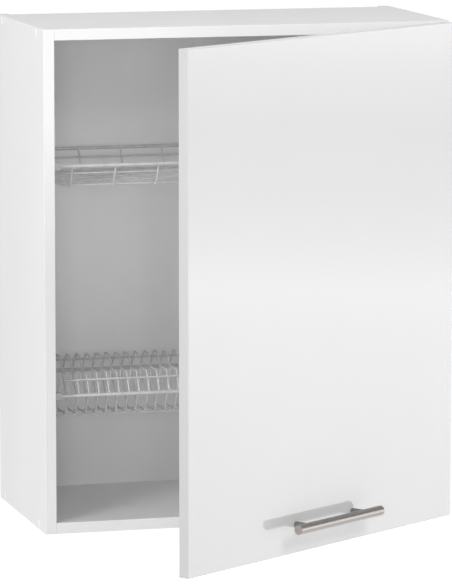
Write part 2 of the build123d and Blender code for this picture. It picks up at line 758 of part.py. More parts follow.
# Arm screws: one clamps the arm to the plate, the other sets the door sideways
arm_screw_length = arm_top - block_height
with BuildPart() as arm_screw:
    with BuildSketch(Plane.XY):
        RegularPolygon(arm_screw_radius, round_sides)
    extrude(amount=arm_screw_length)
    with BuildSketch(Plane.XY.offset(arm_screw_length)):
        RegularPolygon(arm_head_radius, round_sides)
    extrude(amount=arm_head_height)
    with BuildSketch(Plane.XY.offset(arm_screw_length + arm_head_height)):
        Rectangle(*driver_slot)
    extrude(amount=1 - arm_head_height, mode=Mode.SUBTRACT)
with BuildPart() as arm_screws:
    with Locations(*arm_screw_places):
        add(arm_screw.part)
finish(arm_screws, "hinge_arm_screws")
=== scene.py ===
import json
from math import acos, pi, radians, tan

import bpy
from mathutils import Matrix, Vector


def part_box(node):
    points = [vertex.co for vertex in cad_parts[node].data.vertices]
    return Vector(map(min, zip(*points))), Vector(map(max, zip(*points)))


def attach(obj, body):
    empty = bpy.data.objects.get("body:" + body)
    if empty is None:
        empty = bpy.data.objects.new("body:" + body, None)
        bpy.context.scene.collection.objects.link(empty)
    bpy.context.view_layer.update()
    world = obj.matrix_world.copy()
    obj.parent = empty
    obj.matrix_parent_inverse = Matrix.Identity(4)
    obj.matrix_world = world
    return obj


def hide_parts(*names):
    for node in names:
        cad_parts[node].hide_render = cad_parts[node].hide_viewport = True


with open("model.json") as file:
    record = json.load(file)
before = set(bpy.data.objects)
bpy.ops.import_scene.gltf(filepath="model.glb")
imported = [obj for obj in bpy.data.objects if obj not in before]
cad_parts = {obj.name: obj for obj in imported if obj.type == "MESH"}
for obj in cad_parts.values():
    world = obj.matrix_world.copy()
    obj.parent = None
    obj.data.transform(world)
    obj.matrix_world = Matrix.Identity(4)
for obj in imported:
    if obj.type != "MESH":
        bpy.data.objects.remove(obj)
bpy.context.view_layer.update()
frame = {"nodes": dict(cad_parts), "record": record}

nodes = frame["nodes"]
print("frame loaded with", len(nodes), "nodes")

# The cabinet's own sizes, in metres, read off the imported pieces
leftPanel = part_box("left_side_panel")
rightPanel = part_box("right_side_panel")
cabinet = {
    "front": leftPanel[0].y,
    "underside": leftPanel[0].z,
    "top": leftPanel[1].z,
    "innerSide": rightPanel[0].x,
}
doorTurn = radians(35.4)  # how far the door stands open
doorAxis = Vector((0.29225, -0.3115, 0))
doorFace = -0.318  # the closed door's face
doorBack = -0.302
doorHalfWidth = 0.298


# Shader maths: a signal is one output of a node, and sums of signals make Math nodes
class Signal:
    def __init__(self, finish, socket):
        self.finish = finish
        self.socket = socket

    def join(self, operation, first, second):
        return self.finish.node("ShaderNodeMath", {"operation": operation}, {0: first, 1: second})

    def __add__(self, other):
        return self.join("ADD", self, other)

    def __radd__(self, other):
        return self.join("ADD", other, self)

    def __sub__(self, other):
        return self.join("SUBTRACT", self, other)

    def __rsub__(self, other):
        return self.join("SUBTRACT", other, self)

    def __mul__(self, other):
        return self.join("MULTIPLY", self, other)

    def __rmul__(self, other):
        return self.join("MULTIPLY", other, self)

    def __gt__(self, other):
        return self.join("GREATER_THAN", self, other)

    def __lt__(self, other):
        return self.join("LESS_THAN", self, other)


class Finish:
    def __init__(self, name, owner=None):
        self.material = owner or bpy.data.materials.new(name)
        self.material.use_nodes = True
        self.tree = self.material.node_tree
        self.tree.nodes.clear()

    # adds a node: its settings first, then numbers, colours or signals on its sockets
    def node(self, kind, settings=None, sockets=None, out=0):
        made = self.tree.nodes.new(kind)
        for name, value in (settings or {}).items():
            if name == "stops":
                ramp = made.color_ramp
                while len(ramp.elements) < len(value):
                    ramp.elements.new(0.5)
                for stop, (place, level) in zip(ramp.elements, value):
                    stop.position = place
                    stop.color = (level, level, level, 1)
            else:
                setattr(made, name, value)
        for name, value in (sockets or {}).items():
            if isinstance(value, Signal):
                self.tree.links.new(value.socket, made.inputs[name])
            else:
                made.inputs[name].default_value = value
        return Signal(self, made.outputs[out] if len(made.outputs) else None)

    def place(self):
        return self.node("ShaderNodeTexCoord", out="Object")

    # object coordinates turned back to the closed door, seen from its turning axis
    def doorPlace(self):
        settings = {"vector_type": "TEXTURE"}
        sockets = {"Vector": self.place(), "Location": doorAxis, "Rotation": (0, 0, doorTurn)}
        return self.node("ShaderNodeMapping", settings, sockets)

    def axis(self, vector, letter):
        return self.node("ShaderNodeSeparateXYZ", sockets={"Vector": vector}, out=letter)

    # noise whose grain is given as a size in metres along each axis
    def grain(self, vector, size, detail=2.0, roughness=0.5):
        scale = tuple(1 / length for length in size)
        sockets = {"Vector": vector, "Scale": scale}
        stretched = self.node("ShaderNodeMapping", {"vector_type": "POINT"}, sockets)
        sockets = {"Vector": stretched, "Scale": 1.0, "Detail": detail, "Roughness": roughness}
        return self.node("ShaderNodeTexNoise", {"noise_dimensions": "3D"}, sockets, "Fac")

    def ramp(self, signal, stops):
        return self.node("ShaderNodeValToRGB", {"stops": stops}, {"Fac": signal})

    def blendColour(self, factor, first, second):
        return self.node("ShaderNodeMix", {"data_type": "RGBA"}, {0: factor, 6: first, 7: second}, 2)

    def bump(self, height, distance):
        sockets = {"Height": height, "Distance": distance, "Strength": 1.0}
        return self.node("ShaderNodeBump", sockets=sockets, out="Normal")

    # the finished surface, with an underscore for each space in a socket's name
    def surface(self, **sockets):
        named = {name.replace("_", " "): value for name, value in sockets.items()}
        shader = self.node("ShaderNodeBsdfPrincipled", sockets=named)
        self.node("ShaderNodeOutputMaterial", sockets={"Surface": shader})
        return self.material


def grey(level, warm=0.0):
    return (level * (1 + warm), level, level * (1 - warm), 1)


def shaded(colour, share):
    return tuple(part * share for part in colour[:3]) + (1,)


# Every finish below gives its grain sizes in metres, and how far grain shifts the roughness as its spread
cloudStops = [(0.3, 0), (0.75, 1)]  # from clear to clouded

# Melamine on chipboard: nearly even white with a fine pearl, and the joint of the front edging
board = {
    "white": 0.80, "soiled": 0.77, "clouds": (0.22, 0.22, 0.3),
    "pearl": (0.0009,) * 3, "relief": 0.00006,
    "edging": 0.0008, "joint": 0.00012, "jointTone": grey(0.45, 0.03), "jointShade": 0.5, "jointDip": 0.6,
    "roughness": 0.40, "spread": 0.12, "glossGrain": (0.06, 0.06, 0.09), "specular": 0.5,
}


def melamineFinish():
    m = Finish("white_melamine")
    place = m.place()
    clouds = m.ramp(m.grain(place, board["clouds"]), cloudStops)
    pearl = m.grain(place, board["pearl"], detail=3)
    behind = m.axis(place, "Y") - (cabinet["front"] + board["edging"])
    joint = (behind > -board["joint"]) * (behind < board["joint"])
    tone = m.blendColour(clouds, grey(board["white"]), grey(board["soiled"]))
    colour = m.blendColour(joint * board["jointShade"], tone, board["jointTone"])
    roughness = m.grain(place, board["glossGrain"]) * board["spread"] + board["roughness"]
    normal = m.bump(pearl - joint * board["jointDip"], board["relief"])
    return m.surface(Base_Color=colour, Roughness=roughness, Normal=normal,
                     Specular_IOR_Level=board["specular"])


# Door: gloss lacquer on the face, satin melamine on the inside
door = {
    "white": 0.60, "cloudDrop": 0.012, "clouds": (0.3, 0.3, 0.35),
    "inside": 0.78, "edging": 0.53, "edgingDepth": 0.0008,
    "gloss": 0.03, "index": 1.7, "coatDepth": 0.0006,
    "peel": (0.009, 0.009, 0.009 * 1.4), "peelHeight": 0.12,  # the lacquer's faint waves
    "roughness": 0.38, "spread": 0.10, "glossGrain": (0.05, 0.05, 0.08), "specular": 0.4,
}


def doorFinish():
    m = Finish("gloss_white_door")
    place = m.doorPlace()
    lacquered = m.axis(place, "Y") < (doorFace - doorAxis.y + door["coatDepth"])
    edged = m.axis(place, "X") < (-doorHalfWidth - doorAxis.x + door["edgingDepth"])
    clouds = m.ramp(m.grain(place, door["clouds"]), cloudStops)
    tone = m.blendColour(clouds, grey(door["white"]), grey(door["white"] - door["cloudDrop"]))
    inside = m.blendColour(edged, grey(door["inside"]), grey(door["edging"]))
    peel = m.grain(place, door["peel"], detail=1)
    pearl = m.grain(place, board["pearl"], detail=3)
    height = lacquered * peel * door["peelHeight"] + (1 - lacquered) * pearl
    roughness = m.grain(place, door["glossGrain"]) * door["spread"] + door["roughness"]
    return m.surface(Base_Color=m.blendColour(lacquered, inside, tone), Roughness=roughness,
                     Normal=m.bump(height, board["relief"]), Coat_Weight=lacquered,
                     Coat_Roughness=door["gloss"], Coat_IOR=door["index"],
                     Specular_IOR_Level=door["specular"])


# Hardboard back: white lacquer inside, bare pressed fibre towards the wall
hardboard = {
    "white": 0.79, "soiled": 0.765, "weave": (0.0007,) * 3, "weaveHeight": 0.2,
    "fibres": (0.0011, 0.0011, 0.0042), "fibreStops": [(0.3, 0), (0.72, 1)],
    "darkFibre": (0.30, 0.17, 0.085, 1), "paleFibre": (0.46, 0.29, 0.16, 1),
    "mottle": (0.05, 0.05, 0.07), "mottled": (0.36, 0.22, 0.12, 1), "mottleShare": 0.5,
    "bareFrom": 0.4,  # share of the board's thickness after which it counts as its bare side
    "roughness": 0.42, "bareRoughness": 0.35, "relief": 0.00025,
}


def hardboardFinish():
    m = Finish("hardboard")
    place = m.place()
    front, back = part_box("back_panel_left")[0].y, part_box("back_panel_left")[1].y
    bare = m.axis(place, "Y") > (front * (1 - hardboard["bareFrom"]) + back * hardboard["bareFrom"])
    fibres = m.grain(place, hardboard["fibres"], detail=6, roughness=0.7)
    mottle = m.grain(place, hardboard["mottle"], detail=3)
    weave = m.grain(place, hardboard["weave"], detail=2)
    streaks = m.ramp(fibres, hardboard["fibreStops"])
    wood = m.blendColour(streaks, hardboard["darkFibre"], hardboard["paleFibre"])
    wood = m.blendColour(mottle * hardboard["mottleShare"], wood, hardboard["mottled"])
    white = m.blendColour(m.ramp(mottle, cloudStops), grey(hardboard["white"]), grey(hardboard["soiled"]))
    height = bare * fibres + (1 - bare) * weave * hardboard["weaveHeight"]
    roughness = bare * hardboard["bareRoughness"] + hardboard["roughness"]
    return m.surface(Base_Color=m.blendColour(bare, white, wood), Roughness=roughness,
                     Normal=m.bump(height, hardboard["relief"]))


# White moulded plastic, with the faint sparkle of an eroded mould
plastic = {
    "white": (0.80, 0.34), "cap": (0.86, 0.30), "socket": (0.52, 0.42),  # level and roughness
    "flow": (0.012, 0.012, 0.03), "flowStops": [(0.3, 0), (0.8, 1)], "flowDrop": 0.02, "flowWarmth": 0.004,
    "mould": (0.00045,) * 3, "relief": 0.00003, "spread": 0.08, "specular": 0.5,
}


def plasticFinish(name, level, roughness):
    m = Finish(name)
    place = m.place()
    flow = m.grain(place, plastic["flow"], detail=3)
    mould = m.grain(place, plastic["mould"], detail=3)
    flowTone = grey(level - plastic["flowDrop"], plastic["flowWarmth"])
    colour = m.blendColour(m.ramp(flow, plastic["flowStops"]), grey(level), flowTone)
    return m.surface(Base_Color=colour, Roughness=flow * plastic["spread"] + roughness,
                     Normal=m.bump(mould, plastic["relief"]), Specular_IOR_Level=plastic["specular"])


# Bright plated metals: plating is uneven in gloss, with drawing lines along the piece
plating = {
    "bloom": (0.011,) * 3, "bloomStops": [(0.35, 0), (0.75, 1)], "bloomShade": 0.80, "bloomSpread": 0.16,
    "specks": (0.0016,) * 3, "speckStops": [(0.62, 0), (0.72, 1)], "speckShade": 0.5,
    "lineSpread": 0.06,
}
hingeSteel = {"colour": (0.68, 0.66, 0.63, 1), "lines": (0.0006, 0.02, 0.0006), "lineDepth": 0.00001,
              "roughness": 0.18}
# The rack wires are one plating. The bent wires' colour is painted lighter (painted light) and the straight
# wires' colour darker (painted shade).
rackWire = {
    "straight": {"colour": grey(0.61), "lines": (0.02, 0.0004, 0.0004)},
    "bent": {"colour": grey(0.71), "lines": (0.0004, 0.004, 0.004)},
    "all": {"lineDepth": 0.00001, "roughness": 0.42, "spots": 0.3, "metallic": 0.2},
}


def platedFinish(name, colour, lines, lineDepth, roughness, spots=0.0, metallic=1.0):
    m = Finish(name)
    place = m.place()
    drawn = m.grain(place, lines, detail=3)
    bloom = m.grain(place, plating["bloom"], detail=4, roughness=0.6)
    specks = m.ramp(m.grain(place, plating["specks"], detail=2), plating["speckStops"])
    dull = shaded(colour, plating["bloomShade"])
    tone = m.blendColour(m.ramp(bloom, plating["bloomStops"]), colour, dull)
    tone = m.blendColour(specks * spots, tone, shaded(colour, plating["speckShade"]))
    uneven = bloom * plating["bloomSpread"] + drawn * plating["lineSpread"] + roughness
    return m.surface(Base_Color=tone, Metallic=metallic, Roughness=uneven, Normal=m.bump(drawn, lineDepth))


# Satin nickel of the handle, polished round the bar, so the lines run across its length; the ends are paler
handle = {
    "lines": (0.00022, 0.006, 0.006), "lineStops": [(0.25, 0), (0.8, 1)], "lineDepth": 0.00002,
    "dark": (0.285, 0.27, 0.257, 1), "bright": (0.36, 0.342, 0.33, 1),
    "hands": (0.02, 0.01, 0.01), "handled": (0.25, 0.236, 0.225, 1), "handledShare": 0.25,
    "end": 0.0938, "endTone": (0.47, 0.425, 0.41, 1),  # from here outwards the bar shows its turned ends
    "roughness": 0.17, "lineSpread": 0.12, "handSpread": 0.08, "endSpread": 0.22,
}


def handleFinish():
    m = Finish("satin_nickel")
    place = m.doorPlace()
    lines = m.grain(place, handle["lines"], detail=4, roughness=0.6)
    hands = m.grain(place, handle["hands"], detail=3)
    along = m.axis(place, "X") + doorAxis.x
    turnedEnd = (along > handle["end"]) + (along < -handle["end"])
    tone = m.blendColour(m.ramp(lines, handle["lineStops"]), handle["dark"], handle["bright"])
    tone = m.blendColour(hands * handle["handledShare"], tone, handle["handled"])
    tone = m.blendColour(turnedEnd, tone, handle["endTone"])
    uneven = lines * handle["lineSpread"] + hands * handle["handSpread"]
    roughness = uneven + turnedEnd * handle["endSpread"] + handle["roughness"]
    return m.surface(Base_Color=tone, Metallic=1.0, Roughness=roughness,
                     Normal=m.bump(lines, handle["lineDepth"]))


# Zinc plate: pale grey crystals with a faint blue and straw bloom
zincPlate = {
    "crystalsPerMetre": 900.0, "blue": (0.56, 0.58, 0.61, 1), "pale": (0.70, 0.71, 0.71, 1),
    "bloom": (0.004,) * 3, "bloomStops": [(0.5, 0), (0.75, 0.35)], "straw": (0.66, 0.63, 0.50, 1),
    "roughness": 0.28, "spread": 0.12, "relief": 0.00002,
}


def zincFinish():
    m = Finish("zinc_plate")
    place = m.place()
    sockets = {"Vector": place, "Scale": zincPlate["crystalsPerMetre"]}
    crystal = m.axis(m.node("ShaderNodeTexVoronoi", {"feature": "F1"}, sockets, "Color"), "X")
    bloom = m.ramp(m.grain(place, zincPlate["bloom"], detail=2), zincPlate["bloomStops"])
    tone = m.blendColour(crystal, zincPlate["blue"], zincPlate["pale"])
    tone = m.blendColour(bloom, tone, zincPlate["straw"])
    roughness = crystal * zincPlate["spread"] + zincPlate["roughness"]
    return m.surface(Base_Color=tone, Metallic=1.0, Roughness=roughness,
                     Normal=m.bump(crystal, zincPlate["relief"]))


finishes = {
    "white_board": melamineFinish(),
    "white_hardboard": hardboardFinish(),
    "white_plastic": plasticFinish("white_plastic", *plastic["white"]),
    # painted shade: the straight rack wires get a darker copy of the wire plating
    "rack_wire": platedFinish("satin_wire_painted_darker", **rackWire["straight"], **rackWire["all"]),
    "handle_metal": handleFinish(),
    "hinge_steel": platedFinish("nickel_plate", **hingeSteel),
    "zinc_steel": zincFinish(),
}
doorGloss = doorFinish()
capWhite = plasticFinish("cap_white", *plastic["cap"])
socketGrey = plasticFinish("socket_plastic", *plastic["socket"])
# painted light: the bent rack wires get a lighter copy of the wire plating
bentWirePaintedLighter = platedFinish("bent_wire", **rackWire["bent"], **rackWire["all"])


def dress(piece, finish):
    piece.data.materials.clear()
    piece.data.materials.append(finish)


for part in frame["record"]["subparts"]:
    dress(nodes[part["node"]], finishes[part["material_slot"]])
dress(nodes["door_panel"], doorGloss)
dress(nodes["screw_caps"], capWhite)
for name in ("plate_rack_holders", "cup_rack_holders"):
    dress(nodes[name], socketGrey)
print("finishes made")


# Modelling helpers
def deselectAll():
    if bpy.context.object and bpy.context.object.mode != "OBJECT":
        bpy.ops.object.mode_set(mode="OBJECT")
    bpy.ops.object.select_all(action="DESELECT")


# selects these pieces alone, the first of them as the active one
def pick(*pieces):
    deselectAll()
    for piece in pieces:
        piece.select_set(True)
    bpy.context.view_layer.objects.active = pieces[0]


# puts the selected object's place into its mesh
def settle(piece):
    bpy.ops.object.transform_apply(location=True, rotation=True, scale=True)
    return piece


def joinPieces(name, pieces):
    pick(*pieces)
    bpy.ops.object.join()
    pieces[0].name = name
    return pieces[0]


def arrayAlong(piece, count, step):
    pick(piece)
    rows = piece.modifiers.new("row", "ARRAY")
    rows.count = count
    rows.use_relative_offset = False
    rows.use_constant_offset = True
    rows.constant_offset_displace = step
    bpy.ops.object.modifier_apply(modifier=rows.name)


def smooth(piece, angle):
    pick(piece)
    bpy.ops.object.shade_smooth_by_angle(angle=radians(angle))


# the turn that points an object's own axis from one place at another
def aimed(place, target, axis):
    return (Vector(target) - Vector(place)).to_track_quat(axis, "Y").to_euler()


# A bent wire: a ring is drawn along each straight run and spun round each bend
bentShape = {"sides": 10, "bendSteps": 5, "smooth": 50, "mergeReach": 0.00001}


def bentWire(name, points, radius, bendRadius):
    heading = (points[1] - points[0]).normalized()
    deselectAll()
    bpy.ops.mesh.primitive_circle_add(vertices=bentShape["sides"], radius=radius, location=points[0],
                                      rotation=heading.to_track_quat("Z", "Y").to_euler())
    wire = settle(bpy.context.object)
    bpy.ops.object.mode_set(mode="EDIT")
    bpy.ops.mesh.select_all(action="SELECT")
    bpy.ops.mesh.edge_face_add()
    bpy.ops.mesh.select_all(action="SELECT")
    here = points[0]
    for before, corner, after in zip(points, points[1:], points[2:]):
        arriving, leaving = (corner - before).normalized(), (after - corner).normalized()
        angle = acos(max(-1, min(1, arriving.dot(leaving))))
        setback = bendRadius * tan(angle / 2)
        bendStart = corner - arriving * setback
        bpy.ops.mesh.extrude_region_move(TRANSFORM_OT_translate={"value": bendStart - here})
        spinAxis = arriving.cross(leaving).normalized()
        centre = bendStart + spinAxis.cross(arriving) * bendRadius
        bpy.ops.mesh.spin(steps=bentShape["bendSteps"], angle=-angle, center=centre, axis=spinAxis)
        here = corner + leaving * setback
    bpy.ops.mesh.extrude_region_move(TRANSFORM_OT_translate={"value": points[-1] - here})
    bpy.ops.mesh.select_all(action="SELECT")
    bpy.ops.mesh.remove_doubles(threshold=bentShape["mergeReach"])
    bpy.ops.mesh.normals_make_consistent(inside=False)
    bpy.ops.object.mode_set(mode="OBJECT")
    wire.name = name
    return wire


# A straight wire along X with eased ends
straightShape = {"sides": 14, "ease": 0.16, "easeSteps": 2, "smooth": 35}  # ease as a share of the diameter


def straightWire(name, reach, depth, level, diameter):
    deselectAll()
    bpy.ops.mesh.primitive_cylinder_add(vertices=straightShape["sides"], radius=diameter / 2, depth=2 * reach,
                                        location=(0, depth, level), rotation=(0, pi / 2, 0))
    wire = settle(bpy.context.object)
    bpy.ops.object.mode_set(mode="EDIT")
    bpy.ops.mesh.select_mode(type="FACE")
    bpy.ops.mesh.select_all(action="DESELECT")
    bpy.ops.object.mode_set(mode="OBJECT")
    for face in wire.data.polygons:
        face.select = abs(face.normal.x) > 0.9  # the two ends
    bpy.ops.object.mode_set(mode="EDIT")
    bpy.ops.mesh.bevel(offset=diameter * straightShape["ease"], segments=straightShape["easeSteps"],
                       affect="EDGES")
    bpy.ops.object.mode_set(mode="OBJECT")
    wire.name = name
    return wire


# A drop of weld where two wires cross, flattened towards them
weld = {"radius": 0.0017, "rounds": 2, "stretch": (1.25, 1.0, 0.8)}


def weldDrop(depth, level):
    deselectAll()
    bpy.ops.mesh.primitive_ico_sphere_add(subdivisions=weld["rounds"], radius=weld["radius"],
                                          location=(0, depth, level))
    drop = bpy.context.object
    drop.scale = weld["stretch"]
    return settle(drop)


# Racks, with depths behind the cabinet's front edge and heights above its underside in millimetres
plateRack = {
    "line": [(25.0, 194.5), (44.0, 223.5), (75.5, 222.5), (111.0, 153.5),
             (158.0, 153.5), (209.0, 222.0), (230.5, 222.5), (256.0, 194.5)],
    "count": 36, "pitch": 0.0148, "wire": 0.0025, "bend": 0.007,
}
cupRack = {
    "line": [(25.0, 523.5), (44.0, 491.5), (236.0, 491.5), (255.0, 523.5)],
    "count": 9, "pitch": 0.063, "wire": 0.0025, "bend": 0.007,
}
# a bent wire's ends sink a little into the rails; straight wires lie at least a gap apart
longWire = {"rail": 0.005, "wire": 0.003, "sink": 0.0003, "gap": 0.0045}


def rackPoint(depth, height):
    return Vector((0, cabinet["front"] + depth / 1000, cabinet["underside"] + height / 1000))


# the middles of the straight wires of a CAD node, as depths and levels
def longWireSpots(node):
    seen = {}
    for vertex in nodes[node].data.vertices:
        if vertex.co.x < 0:
            seen.setdefault(round(vertex.co.y, 3), []).append(vertex.co)
    spots, group = [], []
    for key in sorted(seen):
        if group and key - group[-1].y > longWire["gap"]:
            spots.append(group)
            group = []
        group += seen[key]
    spots.append(group)
    middles = []
    for group in spots:
        depths, levels = [co.y for co in group], [co.z for co in group]
        middles.append(((min(depths) + max(depths)) / 2, (min(levels) + max(levels)) / 2))
    return middles


# the point of a bent wire's line that is nearest to a straight wire's middle
def nearestOnLine(points, spot):
    target = Vector((0, *spot))
    best = None
    for start, end in zip(points, points[1:]):
        along = end - start
        share = max(0, min(1, (target - start).dot(along) / along.length_squared))
        near = start + along * share
        if best is None or (near - target).length < (best - target).length:
            best = near
    return best


def makeRack(rack, body, crossNode, longNodes):
    points = [rackPoint(*spot) for spot in rack["line"]]
    ends = longWire["rail"] / 2 - longWire["sink"]
    points[0] += (points[1] - points[0]).normalized() * ends
    points[-1] += (points[-2] - points[-1]).normalized() * ends
    wire = bentWire(body + "_bent_wire", points, rack["wire"] / 2, rack["bend"])
    drops = []
    for node in longNodes:
        diameter = longWire["rail"] if node.endswith("rails") else longWire["wire"]
        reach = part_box(node)[1].x
        spots = longWireSpots(node)
        straight = [straightWire(node + "_round", reach, depth, level, diameter) for depth, level in spots]
        piece = joinPieces(node + "_round", straight)
        smooth(piece, straightShape["smooth"])
        dress(piece, finishes["rack_wire"])
        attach(piece, body)
        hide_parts(node)
        for spot in spots:
            near = nearestOnLine(points, spot)
            touch = (Vector((0, *spot)) - near).normalized() * rack["wire"] / 2 + near
            drops.append(weldDrop(touch.y, touch.z))
    wire = joinPieces(crossNode + "_round", [wire] + drops)
    wire.data.transform(Matrix.Translation((-(rack["count"] - 1) * rack["pitch"] / 2, 0, 0)))
    arrayAlong(wire, rack["count"], (rack["pitch"], 0, 0))
    smooth(wire, bentShape["smooth"])
    dress(wire, bentWirePaintedLighter)
    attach(wire, body)
    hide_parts(crossNode)


makeRack(plateRack, "plate_rack", "plate_rack_wires",
         ["plate_rack_rails", "plate_rack_stringers", "plate_rack_bottom_wires"])
makeRack(cupRack, "cup_rack", "cup_rack_cross_wires",
         ["cup_rack_rails", "cup_rack_stringers", "cup_rack_base_wires"])
print("racks made")

# Caps and screws: how finely they are turned and how softly they are shaded
turning = {"sides": 28, "capSides": 40, "smooth": 30, "crossTaper": 0.5}


# A turned piece along Z: a disc drawn out ring by ring through its radii and heights
def turnedPiece(name, profile, sides=turning["sides"]):
    deselectAll()
    bpy.ops.mesh.primitive_circle_add(vertices=sides, radius=profile[0][0], location=(0, 0, profile[0][1]))
    piece = settle(bpy.context.object)
    bpy.ops.object.mode_set(mode="EDIT")
    bpy.ops.mesh.select_all(action="SELECT")
    bpy.ops.mesh.edge_face_add()
    for (radius, height), (nextRadius, nextHeight) in zip(profile, profile[1:]):
        bpy.ops.mesh.extrude_region_move(TRANSFORM_OT_translate={"value": (0, 0, nextHeight - height)})
        widening = nextRadius / radius
        bpy.ops.transform.resize(value=(widening, widening, 1), center_override=(0, 0, 0))
    bpy.ops.mesh.select_all(action="SELECT")
    bpy.ops.mesh.normals_make_consistent(inside=False)
    bpy.ops.object.mode_set(mode="OBJECT")
    piece.name = name
    return piece


# The driver's cross is cut down from the top of a head with two tapered bars
def cutCross(piece, level, cross):
    for turn in (0, pi / 2):
        deselectAll()
        bpy.ops.mesh.primitive_cube_add(size=1, location=(0, 0, level))
        cutter = bpy.context.object
        cutter.scale = (2 * cross["reach"], cross["width"], 2 * cross["depth"])
        settle(cutter)
        for corner in cutter.data.vertices:
            if corner.co.z < level:
                corner.co.x *= turning["crossTaper"]
        cutter.rotation_euler.z = turn
        settle(cutter)
        pick(piece)
        cut = piece.modifiers.new("cross", "BOOLEAN")
        cut.operation = "DIFFERENCE"
        cut.object = cutter
        bpy.ops.object.modifier_apply(modifier=cut.name)
        bpy.data.objects.remove(cutter)


# Copies of a piece are set in their seats, and together they take the place of the CAD's own
def setInSeats(piece, seats, node, body, slot, finish=None):
    copies = []
    for seat in seats:
        pick(piece)
        bpy.ops.object.duplicate(linked=False)
        copy = bpy.context.object
        copy.matrix_world = seat
        copies.append(settle(copy))
    bpy.data.objects.remove(piece)
    whole = joinPieces(node + "_round", copies)
    smooth(whole, turning["smooth"])
    dress(whole, finish or finishes[slot])
    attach(whole, body)
    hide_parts(node)


# a seat on the carcase: where it is and which way its head looks
def seatAt(place, outwards):
    return Matrix.Translation(place) @ Vector(outwards).to_track_quat("Z", "Y").to_matrix().to_4x4()


# the same on the closed door, turned with it to where it stands open
def doorSeat(place, outwards):
    swing = Matrix.Translation(doorAxis) @ Matrix.Rotation(doorTurn, 4, "Z") @ Matrix.Translation(-doorAxis)
    return swing @ seatAt(place, outwards)


# Countersunk screws, with the top of the head at their seat
countersunk = {
    "tip": 0.0004, "shank": 0.0016, "head": 0.0034, "face": 0.0032,  # radii
    "point": 0.0022, "sink": 0.0022, "rim": (0.0003, 0.0001),  # lengths, and the rim's depths under the face
    "cross": {"reach": 0.0019, "width": 0.0008, "depth": 0.0013},
}


def woodScrew(name, length):
    low, high = countersunk["rim"]
    screw = turnedPiece(name, [
        (countersunk["tip"], -length), (countersunk["shank"], countersunk["point"] - length),
        (countersunk["shank"], -countersunk["sink"]), (countersunk["head"], -low),
        (countersunk["head"], -high), (countersunk["face"], 0),
    ])
    cutCross(screw, 0, countersunk["cross"])
    return screw


# Screw caps of the carcase: thin discs, slightly domed, on a peg
caps = {
    "profile": [(0.0015, -0.002), (0.0015, 0),
                (0.006, 0), (0.006, 0.00035), (0.0057, 0.0005), (0.0035, 0.0006)],
    "face": 0.3, "depths": (0.045, 0.2665), "inset": 0.008,
}
capLevels = (cabinet["underside"] + caps["inset"], cabinet["top"] - caps["inset"])
capSeats = [seatAt((side * caps["face"], cabinet["front"] + depth, level), (side, 0, 0))
            for side in (-1, 1) for depth in caps["depths"] for level in capLevels]
cap = turnedPiece("cap", caps["profile"], turning["capSides"])
setInSeats(cap, capSeats, "screw_caps", "carcase", "white_plastic", capWhite)

# Screws of the two hinges, with their places on the closed door's plan
hinge = {
    "levels": (-0.575, -0.055), "screwLength": 0.012,
    "plate": {"across": 0.2815, "setback": 0.037, "spread": 0.016},
    "cup": {"across": 0.2695, "depth": -0.3008, "spread": 0.024},
    "arm": {
        "rise": 0.008, "setbacks": (0.038, 0.052),
        "profile": [(0.00285, 0), (0.00285, 0.0115), (0.0042, 0.0115), (0.0042, 0.0127), (0.0039, 0.0131)],
        "cross": {"reach": 0.0024, "width": 0.001, "depth": 0.001},
    },
}
plate, cup, arm = hinge["plate"], hinge["cup"], hinge["arm"]
aboveAndBelow = [(level, step) for level in hinge["levels"] for step in (-1, 1)]
plateSeats = [seatAt((plate["across"], cabinet["front"] + plate["setback"], level + step * plate["spread"]),
                     (-1, 0, 0)) for level, step in aboveAndBelow]
cupSeats = [doorSeat((cup["across"], cup["depth"], level + step * cup["spread"]), (0, 1, 0))
            for level, step in aboveAndBelow]
armSeats = [seatAt((cabinet["innerSide"] - arm["rise"], cabinet["front"] + setback, level), (-1, 0, 0))
            for level in hinge["levels"] for setback in arm["setbacks"]]
setInSeats(woodScrew("plate_screw", hinge["screwLength"]), plateSeats,
           "hinge_plate_screws", "carcase", "zinc_steel")
setInSeats(woodScrew("cup_screw", hinge["screwLength"]), cupSeats, "hinge_cup_screws", "door", "zinc_steel")
armScrew = turnedPiece("arm_screw", arm["profile"])
cutCross(armScrew, arm["profile"][-1][1], arm["cross"])
setInSeats(armScrew, armSeats, "hinge_arm_screws", "carcase", "zinc_steel")

# Pan-headed handle screws on the door's inside
pan = {
    "profile": [(0.0015, -0.027), (0.0019, -0.0265), (0.0019, 0),
                (0.004, 0), (0.004, 0.0011), (0.0036, 0.0019), (0.0026, 0.0024)],
    "cross": {"reach": 0.0021, "width": 0.0009, "depth": 0.0014}, "spread": 0.064, "level": -0.634,
}
panScrew = turnedPiece("pan_screw", pan["profile"])
cutCross(panScrew, pan["profile"][-1][1], pan["cross"])
panSeats = [doorSeat((side * pan["spread"], doorBack, pan["level"]), (0, 1, 0)) for side in (-1, 1)]
setInSeats(panScrew, panSeats, "handle_screws", "door", "zinc_steel")

# Screws of the wall hangers, driven into the sides through the housings
hangerScrews = {"face": 0.268, "depths": (-0.07, -0.03), "level": -0.005, "length": 0.027}
hangerSeats = [seatAt((side * hangerScrews["face"], depth, hangerScrews["level"]), (-side, 0, 0))
               for side in (-1, 1) for depth in hangerScrews["depths"]]
setInSeats(woodScrew("hanger_screw", hangerScrews["length"]), hangerSeats,
           "hanger_screws", "carcase", "zinc_steel")
print("caps and screws made")

